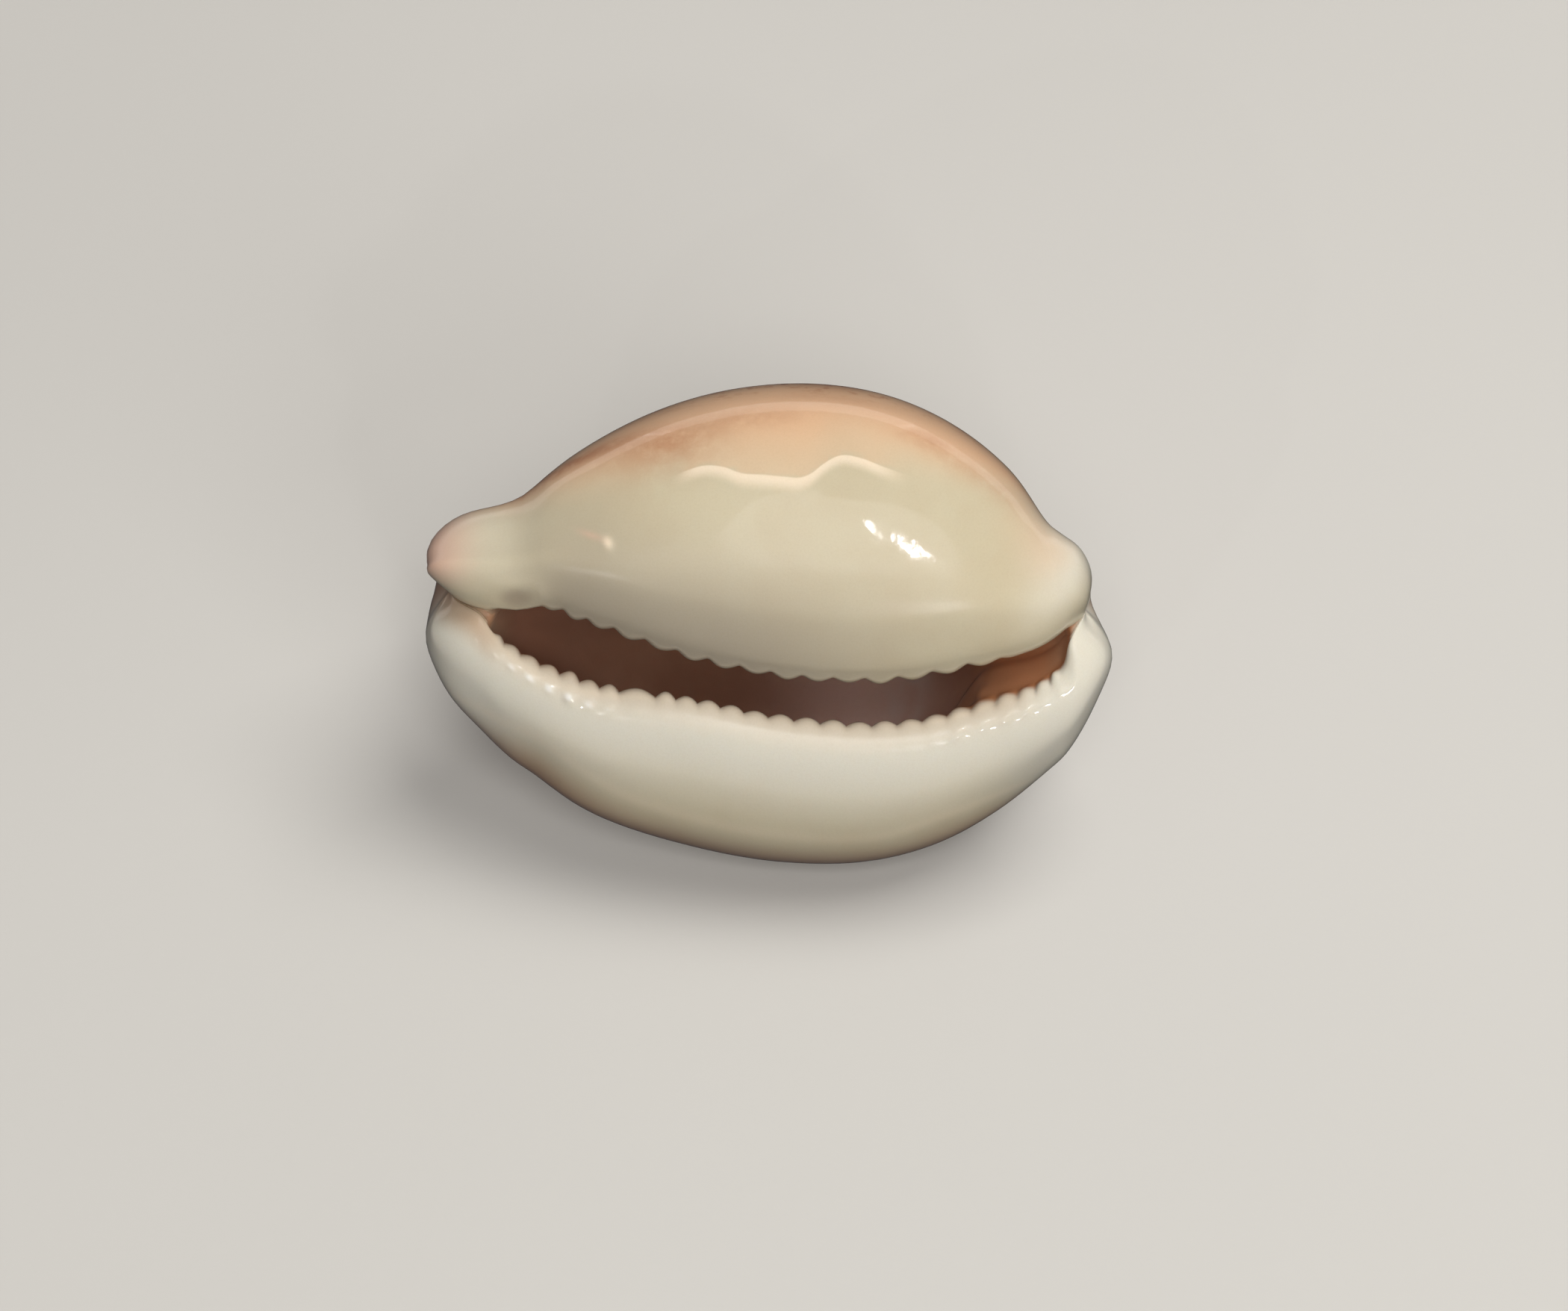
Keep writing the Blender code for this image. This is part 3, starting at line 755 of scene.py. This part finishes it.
class ShellPainter(NodeWriter):
    """Paints the shell layer over layer, by fields in millimetres: along, across and height in the
    shell frame, lip out from the slit's edge, and glaze above the glaze's edge."""

    def __init__(self, tree, tints):
        super().__init__(tree)
        self.tints = tints
        self.place = self.attribute("shell_point", "Vector")
        axes = self.add("ShaderNodeSeparateXYZ", {0: self.place}).outputs
        self.along, self.across, self.height = axes["X"], axes["Y"], axes["Z"]
        self.lip, self.glaze = self.attribute("lip_distance"), self.attribute("glaze")
        self.outer = self.attribute("outer")
        self.inner = self.less(self.outer)
        self.cloud = self.noise(self.place, 0.2, 3.0, 0.55, 0.3)
        self.fleck = self.noise(self.place, 1.3, 3.0, 0.6)
        self.grain = self.noise(self.place, 9.0, 2.0, 0.6)
        self.colour = self.blend(self.ramp(self.cloud, 0.35, 0.7), tints.cream, tints.cream_deep)

    def paint(self):
        self.paint_base()
        self.paint_back()
        self.paint_edges()
        self.paint_hollow()
        self.paint_marks()
        self.add_coat()

    def over(self, colour, *shares):
        """Paint a colour over what is there, fully where the product of the shares is 1."""
        self.colour = self.blend(self.times(*shares), self.colour, colour)

    def paint_base(self):
        """Whiter along the outer lip and at the ends, greyer and darker near the slit and in the front
        fold: partly the enamel's own tones, partly painted light and shade.
        """
        tints, ramp, lip, along = self.tints, self.ramp, self.lip, self.along
        # Partly the outer lip's own white enamel, partly painted light that brightens the lip.
        self.over(tints.lip_white_and_light, self.outer, ramp(lip, 8.0, 2.0), 0.85)
        # Painted shade, partly clear enamel: the outer lip darkens within about two millimetres of the
        # slit's edge.
        self.over(tints.tooth_shade, self.outer, ramp(lip, 2.2, -0.2), ramp(along, 17.0, 14.0), 0.65)
        # Painted shade, partly the thin translucent inner lip: greyer towards the slit, where the lip
        # turns from the light, away from both ends.
        middle = ramp(along, 13.0, -3.0), ramp(along, -16.0, -10.0)
        self.over(tints.lip_grey_and_shade, self.inner, ramp(lip, 11.0, 0.5), *middle, 0.9)
        # Painted shade: the fold where the outer lip meets the front lobe, in the pale canal colour.
        self.over(tints.canal_pale_and_fold_shade, self.outer, ramp(lip, 2.0, 0.2), ramp(along, -14.6, -16.4), 0.75)
        # Painted light: the lobes at both ends are whitened as if brightly lit, less so at the inner lip's
        # front.
        ends = ramp(self.apart(along, 0.5), 12.5, 17.0), ramp(lip, 0.5, 4.5)
        front_inner = self.times(self.inner, ramp(along, 0.0, -1.0), 0.6)
        self.over(tints.lip_white_and_light, *ends, self.less(front_inner), 0.7)

    def paint_back(self):
        """Tan with soft bands and stains, and at the crown brown flecks and a pale line."""
        tints, ramp, times = self.tints, self.ramp, self.times
        drift = self.math("MULTIPLY_ADD", self.cloud, 2.4, -1.2)
        bands = self.math("SINE", times(self.plus(self.along, drift), 0.62))
        hidden = ramp(self.height, 8.0, 13.0)
        tan = self.blend(ramp(bands, -0.4, 0.9), tints.tan, tints.tan_deep)
        tan = self.blend(hidden, tints.tan, tan)
        tan = self.blend(times(hidden, ramp(self.fleck, 0.52, 0.68)), tan, tints.stain)
        mantle = self.bell(self.plus(self.across, times(drift, 0.5)), 2.2, 0.8)
        mantle = times(hidden, mantle, ramp(self.height, 11.0, 16.0))
        self.over(self.blend(mantle, tan, tints.tan_pale), self.attribute("back"))
        mottle = ramp(times(self.plus(self.cloud, self.fleck), 0.5), 0.25, 0.6)
        self.over(tints.stain, self.attribute("stain"), mottle, 0.75)

    def paint_edges(self):
        """The pale edge of the glaze, partly painted highlight; the band under the outer lip, partly
        painted shade, with its thin line; the pink front ends, partly painted light.
        """
        tints, ramp, glaze, lip = self.tints, self.ramp, self.glaze, self.lip
        # Partly the glaze's own pale edge, partly a painted highlight along the ridge's top.
        ridge = self.attribute("crisp"), ramp(glaze, -0.55, -0.05), ramp(glaze, 0.08, 0.0)
        self.over(tints.pale_edge_and_highlight, *ridge, 0.85)
        # Partly the band's own pinkish brown, partly painted shade on the lip's underside edge.
        self.over(tints.margin, self.outer, ramp(glaze, -0.5, 2.2), 0.8)
        self.over(tints.pale_edge_and_highlight, self.outer, self.bell(glaze, -0.35, 0.22), 0.2)
        # Partly the front lobes' own pink, partly painted light that brightens their tips.
        self.over(tints.rosy_and_light, self.inner, ramp(self.along, -15.6, -19.6), ramp(lip, 0.8, 3.5), 0.7)
        rear_tip = self.bell(self.along, 15.4, 2.0), self.bell(self.height, 4.2, 2.0)
        self.over(tints.tan, self.inner, *rear_tip, ramp(lip, 3.0, 6.0), 0.35)

    def paint_hollow(self):
        """An orange halo along the teeth, then the dark hollow, which has zones of its own."""
        tints, ramp, lip, along = self.tints, self.ramp, self.lip, self.along
        groove = ramp(self.apart(along, 1.2), 16.4, 17.8)
        self.over(tints.halo, ramp(lip, -0.15, -0.8), self.less(groove))
        outside = self.colour
        self.colour = self.blend(ramp(self.cloud, 0.3, 0.7), tints.hollow, tints.hollow_deep)
        self.over(tints.hollow_front, ramp(along, -7.0, -14.0))
        self.over(tints.violet, self.bell(along, 6.3, 4.6), ramp(lip, -2.0, -6.0))
        milky = self.bell(along, 8.7, 1.2), ramp(lip, -8.0, -12.0), ramp(self.cloud, 0.2, 0.6)
        self.over(tints.violet_pale, *milky, 0.7)
        self.over(tints.canal_orange, ramp(along, 9.6, 13.6))
        self.over(tints.canal_pale_and_fold_shade, ramp(self.apart(along, 0.8), 15.0, 17.4))
        self.over(tints.cream, groove)
        self.colour = self.blend(ramp(lip, -0.6, -1.8), outside, self.colour)

    def paint_marks(self):
        """The pit, the pearly beads and the fleck with its drop, the bead tops and the drop partly painted
        highlight, and a fine grain.
        """
        tints, times, along, lip = self.tints, self.times, self.along, self.lip
        off_x = times(self.math("SUBTRACT", along, PIT_AT[0]), PIT_STRETCH)
        off_lip = self.math("SUBTRACT", lip, PIT_AT[1])
        from_pit = self.math("SQRT", self.plus(times(off_x, off_x), times(off_lip, off_lip)))
        self.over(tints.pit, self.inner, self.ramp(from_pit, 0.95, 0.2), 0.45)
        # Painted highlight, partly: the bead tops are paled as if they caught the light, at the front
        # only.
        crest = self.math("POWER", self.crest(self.attribute("tooth_slot")), 4.0)
        beads = self.ramp(self.attribute("tooth_beads"), 0.25, 1.0)
        self.over(tints.pearl_and_highlight, self.outer, crest, beads, self.ramp(along, -6.5, -9.5), 0.65)
        # Painted highlight, partly: the drop at the fleck's end is paled as if it caught the light.
        drop = self.bell(along, DROP[0], 0.3), self.bell(lip, DROP[1], 0.32)
        self.over(tints.pale_edge_and_highlight, self.inner, *drop, 0.8)
        streak = self.bell(along, -10.0, 0.7), self.bell(lip, 5.97, 0.24)
        self.over(tints.rosy_and_light, self.inner, *streak, 0.28)
        grained = self.blend(self.ramp(self.grain, 0.3, 0.9), self.colour, tints.cream_deep, "MULTIPLY")
        self.over(grained, 0.12)

    def add_coat(self):
        """Clear glaze with slow waves, duller along the slit, over a finely grained ground."""
        ramp, times, lip = self.ramp, self.times, self.lip
        smooth = self.bump(self.noise(self.place, 0.55), GLAZE_WAVES)
        smooth = self.bump(self.noise(self.place, 2.6, 2.0, 0.55), GLAZE_RIPPLES, under=smooth)
        rough = self.math("MULTIPLY_ADD", self.fleck, 0.16, 0.3)
        rough = self.math("MULTIPLY_ADD", ramp(lip, -0.8, -2.2), 0.12, rough)
        inner = times(self.inner, ramp(lip, -0.5, 0.5), ramp(lip, 8.5, 5.5))
        middle = ramp(self.along, -10.5, -8.0), ramp(self.along, 12.0, 10.0)
        dull = self.plus(inner, times(self.outer, *middle, ramp(lip, 5.0, 2.5)))
        glazed = self.add(
            "ShaderNodeBsdfPrincipled",
            {
                "Base Color": self.colour, "Roughness": rough, "IOR": 1.5,
                "Normal": self.bump(self.grain, GRAIN_RELIEF, 0.5, smooth),
                "Subsurface Weight": 0.12, "Subsurface Radius": (1.0, 0.7, 0.45),
                "Subsurface Scale": 0.0008,
                "Coat Weight": self.tints.coat, "Coat IOR": 1.5, "Coat Normal": smooth,
                "Coat Roughness": self.math("MULTIPLY_ADD", dull, 0.2, self.tints.coat_roughness),
            },
        )
        end = self.add("ShaderNodeOutputMaterial", {"Surface": glazed.outputs["BSDF"]})
        end.is_active_output = True


def shell_finish(tints):
    """Natural porcelain: cream base, tan back, dark hollow, all under a clear glaze."""
    finish = new_material("glazed_shell")
    ShellPainter(finish.node_tree, tints).paint()
    return finish


def floor_finish(colour):
    """Matt pale paper with a faint tooth."""
    finish = new_material("pale_paper")
    write = NodeWriter(finish.node_tree)
    place = write.out("ShaderNodeTexCoord", (), "Object")
    darker = [0.96 * value for value in colour[:3]] + [1.0]
    clouded = write.blend(write.ramp(write.noise(place, 9.0), 0.2, 0.8), colour, darker)
    tooth = write.bump(write.noise(place, 900.0, 3.0, 0.6), 0.00005, 0.3)
    paper = write.add(
        "ShaderNodeBsdfPrincipled", {"Base Color": clouded, "Roughness": 0.85, "Normal": tooth}
    )
    write.add("ShaderNodeOutputMaterial", {"Surface": paper.outputs["BSDF"]})
    return finish


def towards(azimuth, elevation):
    """Unit vector towards a place round the shell: azimuth 0 is the camera's side."""
    azimuth, elevation = math.radians(azimuth), math.radians(elevation)
    level = math.cos(elevation)
    return Vector((math.sin(azimuth) * level, -math.cos(azimuth) * level, math.sin(elevation)))


def facing(location, target):
    """A matrix that puts a lamp or camera at the location, upright and looking at the target."""
    back = (location - target).normalized()
    right = Vector((0, 0, 1)).cross(back).normalized()
    turn = Matrix((right, back.cross(right), back)).transposed()
    return Matrix.Translation(location) @ turn.to_4x4()


def soft_box(name, azimuth, elevation, distance, size, power, tint=(1, 1, 1), mirrored=True):
    lamp = bpy.data.lights.new(name, "AREA")
    lamp.shape = "RECTANGLE"
    lamp.size, lamp.size_y = size
    lamp.energy, lamp.color = power, tint
    box = bpy.data.objects.new(name, lamp)
    box.matrix_world = facing(CENTRE + towards(azimuth, elevation) * distance, CENTRE)
    box.visible_camera = False
    box.visible_glossy = mirrored
    bpy.context.scene.collection.objects.link(box)


def lay_floor(colour, scene):
    """A plain sheet just under the shell. It takes the shadow, but neither lights nor mirrors."""
    mesh, sides = bpy.data.meshes.new("floor"), (-FLOOR_HALF, FLOOR_HALF)
    mesh.from_pydata([(x, y, -FLOOR_UNDER) for x in sides for y in sides], [], [(0, 2, 3, 1)])
    mesh.materials.append(floor_finish(colour))
    floor = bpy.data.objects.new("floor", mesh)
    scene.collection.objects.link(floor)
    floor.visible_diffuse = floor.visible_glossy = False


def light_room(colour, scene):
    """Even weak light from all round."""
    scene.world = scene.world or bpy.data.worlds.new("room")
    scene.world.use_nodes = True
    scene.world.node_tree.nodes.clear()
    write = NodeWriter(scene.world.node_tree)
    room = write.add("ShaderNodeBackground", {"Color": colour, "Strength": 1.0})
    write.add("ShaderNodeOutputWorld", {"Surface": room.outputs["Background"]})


def set_lamps(studio):
    """The soft boxes, the strips behind the shell, and the small lamps with their glow."""
    for name, setting, azimuths, elevation, distance, size, tint in SOFT_BOXES:
        for azimuth in azimuths:
            soft_box(name, azimuth, elevation, distance, size, getattr(studio, setting), tint, False)
    for height in REAR_HEIGHTS:
        for azimuth in REAR_AZIMUTHS:
            size, power = (REAR_LENGTH, height), studio.rear * height / REAR_FULL
            soft_box("rear_box", azimuth, REAR_ELEVATION, REAR_DISTANCE, size, power, ROSY_LIGHT)
    for name, azimuth, elevation, size, share in GLINTS:
        soft_box(name, azimuth, elevation, GLINT_DISTANCE, size, studio.glints * share)
    for layer in range(GLOW_LAYERS):
        size = tuple(first + step * layer for first, step in zip(GLOW_FIRST, GLOW_STEP))
        soft_box(f"glow_{layer}", *GLOW_AT, size, studio.glow * size[0] * size[1] / GLOW_FULL_AREA)


def place_camera(scene):
    lens = bpy.data.cameras.new("camera")
    lens.lens, lens.sensor_width, lens.clip_start = CAMERA_LENS, 36.0, 0.01
    camera = bpy.data.objects.new("camera", lens)
    back, up = towards(0, CAMERA_ELEVATION), towards(180, 90 - CAMERA_ELEVATION)
    near = Vector(to_world(np.array(CAMERA_AT))) - up * CAMERA_DROP * MM
    target = near + Vector((TARGET_RIGHT, 0, 0)) * MM - up * TARGET_DROP * MM
    camera.matrix_world = facing(near + back * CAMERA_DISTANCE, target)
    scene.collection.objects.link(camera)
    scene.camera = camera


def number(name, about, default, **limits):
    return FloatProperty(name=name, description=about, default=default, min=0, **limits)


def length(name, about, default):
    return number(name, about, default, subtype="DISTANCE", unit="LENGTH")


def factor(name, about, default, most=1.0):
    return number(name, about, default, max=most, subtype="FACTOR")


def wattage(name, about, default):
    return number(name, about, default, unit="POWER")


def shade(name, about, display):
    """A colour property, given by its display values from 0 to 255."""
    linear = [((v / 255 + 0.055) / 1.055) ** 2.4 if v > 10 else v / 255 / 12.92 for v in display]
    return FloatVectorProperty(
        name=name, description=about, default=(*linear, 1.0), size=4, min=0, max=1, subtype="COLOR"
    )


class ShellForm(bpy.types.PropertyGroup):
    """Sizes of the teeth, and how finely the surface is cut."""

    tooth_height: length("Tooth Height", "How far a tooth stands over the lip's smooth line", 0.0002)
    tooth_roundness: factor("Tooth Roundness", "Under 1 gives full round teeth with narrow gaps", 0.9, 2.0)
    bead_height: length("Bead Height", "How far the fine beads stand over the outer lip", 0.0001)
    tooth_variation: factor("Tooth Variation", "How much the teeth differ in height", 0.16)
    seed: IntProperty(name="Seed", description="Which teeth come out tall or low", default=7)
    rings_per_tooth: IntProperty(
        name="Rings per Tooth", description="Sections of the surface for each outer tooth",
        default=8, min=4, max=12,
    )
    cap_rings: IntProperty(
        name="Cap Rings", description="Sections of the surface in each rounded end",
        default=18, min=8, max=30,
    )


class ShellTints(bpy.types.PropertyGroup):
    """Colours of the shell, and the gloss of its glaze."""

    cream: shade("Cream", "The glazed base", (212, 201, 172))
    cream_deep: shade("Deep Cream", "Faint clouds in the base", (208, 195, 165))
    # Partly the outer lip's white enamel, partly painted light; it also whitens both ends as painted
    # light.
    lip_white_and_light: shade("Lip White", "Along the toothed outer lip", (233, 229, 215))
    # Partly the thin inner lip's own grey, partly painted shade towards the slit.
    lip_grey_and_shade: shade("Lip Grey", "The thin edge of the inner lip", (170, 159, 141))
    tan: shade("Tan", "The back", (240, 196, 156))
    tan_deep: shade("Deep Tan", "Soft bands across the back", (222, 172, 130))
    tan_pale: shade("Pale Tan", "The mantle line along the back", (228, 196, 160))
    stain: shade("Stain", "Soft stains on the back", (184, 116, 74))
    # Partly the glaze's pale edge, partly painted highlight on the ridge and the drop.
    pale_edge_and_highlight: shade("Glaze Edge", "The upper edge of the glaze", (252, 234, 208))
    # Partly the band's own pinkish brown, partly painted shade.
    margin: shade("Margin", "The margin under the outer lip", (142, 106, 86))
    # Partly the lobes' own pink, partly painted light; it also tints the fleck's streak.
    rosy_and_light: shade("Rosy Tip", "The ends of the front lobes", (248, 196, 174))
    # Partly clear enamel, partly painted shade along the slit's edge.
    tooth_shade: shade("Tooth Shade", "Clear enamel at the outer teeth", (196, 176, 152))
    halo: shade("Tooth Halo", "Just inside the slit's edge", (186, 128, 88))
    hollow: shade("Hollow", "Inside the slit", (186, 142, 116))
    hollow_deep: shade("Deep Hollow", "Clouds inside the slit", (176, 130, 104))
    hollow_front: shade("Front Hollow", "Inside the slit, near the front", (150, 106, 84))
    violet: shade("Violet", "The violet zone inside the slit", (254, 220, 206))
    violet_pale: shade("Pale Violet", "A milky patch in that zone", (252, 246, 240))
    pit: shade("Pit", "The small pit by the front canal", (150, 128, 112))
    # Partly paler enamel, partly painted highlight on the bead tops.
    pearl_and_highlight: shade("Pearl", "The fine beads on the outer lip", (255, 254, 250))
    canal_orange: shade("Orange Canal", "The canal at the spire end", (204, 146, 106))
    # The pale canal's own colour, also used as painted shade in the front fold.
    canal_pale_and_fold_shade: shade("Pale Canal", "The canal at the front end", (196, 166, 136))
    coat: factor("Glaze", "How strongly the clear glaze reflects", 1.0)
    coat_roughness: factor("Glaze Roughness", "How far the glaze blurs a reflection", 0.05)


class StudioLight(bpy.types.PropertyGroup):
    """The floor, the surroundings and the lamps."""

    floor: shade("Floor", "The pale floor", (214, 212, 207))
    room: shade("Room", "The light from all round", (64, 64, 66))
    overhead: wattage("Overhead", "The large soft box over the shell", 2.3)
    fill: wattage("Fill", "The weak soft box beside the camera", 0.75)
    front: wattage("Front", "Each low soft box in front of the shell", 0.24)
    camera_side: wattage("Camera Side", "The weak soft box that lights the slit", 0.65)
    glints: wattage("Glints", "The small lamps that give the bright glints", 0.025)
    glow: wattage("Glow", "100 square centimetres of glow round the small lamps", 0.03)
    rear: wattage("Rear", "The low strip behind the shell", 0.14)


class COWRIE_OT_grow_shell(bpy.types.Operator):
    """Grow the shell with its teeth and its glazed finish"""

    bl_idname = "cowrie.grow_shell"
    bl_label = "Grow Shell"
    bl_options = {"REGISTER", "UNDO"}

    def execute(self, context):
        form, tints = context.scene.cowrie_form, context.scene.cowrie_tints
        shell = bpy.data.objects.new(SHELL, shell_mesh(form.rings_per_tooth, form.cap_rings))
        context.scene.collection.objects.link(shell)
        raise_teeth(shell, form, shell_finish(tints), context)
        shell.data.name = SHELL
        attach(shell, "root")
        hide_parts("cowrie_shell")
        return {"FINISHED"}


class COWRIE_OT_set_stage(bpy.types.Operator):
    """Lay the pale floor, and set the soft lamps and the camera round the shell"""

    bl_idname = "cowrie.set_stage"
    bl_label = "Set Stage"
    bl_options = {"REGISTER", "UNDO"}

    def execute(self, context):
        scene = context.scene
        lay_floor(scene.cowrie_studio.floor, scene)
        scene.view_settings.view_transform = "Standard"
        light_room(scene.cowrie_studio.room, scene)
        set_lamps(scene.cowrie_studio)
        place_camera(scene)
        return {"FINISHED"}


class COWRIE_PT_panel(bpy.types.Panel):
    """Sizes, colours and steps of the cowrie shell"""

    bl_label = "Cowrie Shell"
    bl_idname = "COWRIE_PT_panel"
    bl_space_type = "VIEW_3D"
    bl_region_type = "UI"
    bl_category = "Cowrie"

    def draw(self, context):
        layout, scene = self.layout, context.scene
        for group, kind, button in (
            (scene.cowrie_form, ShellForm, "cowrie.grow_shell"),
            (scene.cowrie_tints, ShellTints, None),
            (scene.cowrie_studio, StudioLight, "cowrie.set_stage"),
        ):
            box = layout.box()
            for name in kind.__annotations__:
                box.prop(group, name)
            if button:
                box.operator(button)


CLASSES = (
    ShellForm, ShellTints, StudioLight, COWRIE_OT_grow_shell, COWRIE_OT_set_stage, COWRIE_PT_panel,
)


def register():
    for kind in CLASSES:
        bpy.utils.register_class(kind)
    bpy.types.Scene.cowrie_form = PointerProperty(type=ShellForm)
    bpy.types.Scene.cowrie_tints = PointerProperty(type=ShellTints)
    bpy.types.Scene.cowrie_studio = PointerProperty(type=StudioLight)


def unregister():
    del bpy.types.Scene.cowrie_form, bpy.types.Scene.cowrie_tints, bpy.types.Scene.cowrie_studio
    for kind in reversed(CLASSES):
        bpy.utils.unregister_class(kind)


def main():
    register()
    bpy.ops.cowrie.grow_shell()
    bpy.ops.cowrie.set_stage()


if __name__ == "__main__":
    main()
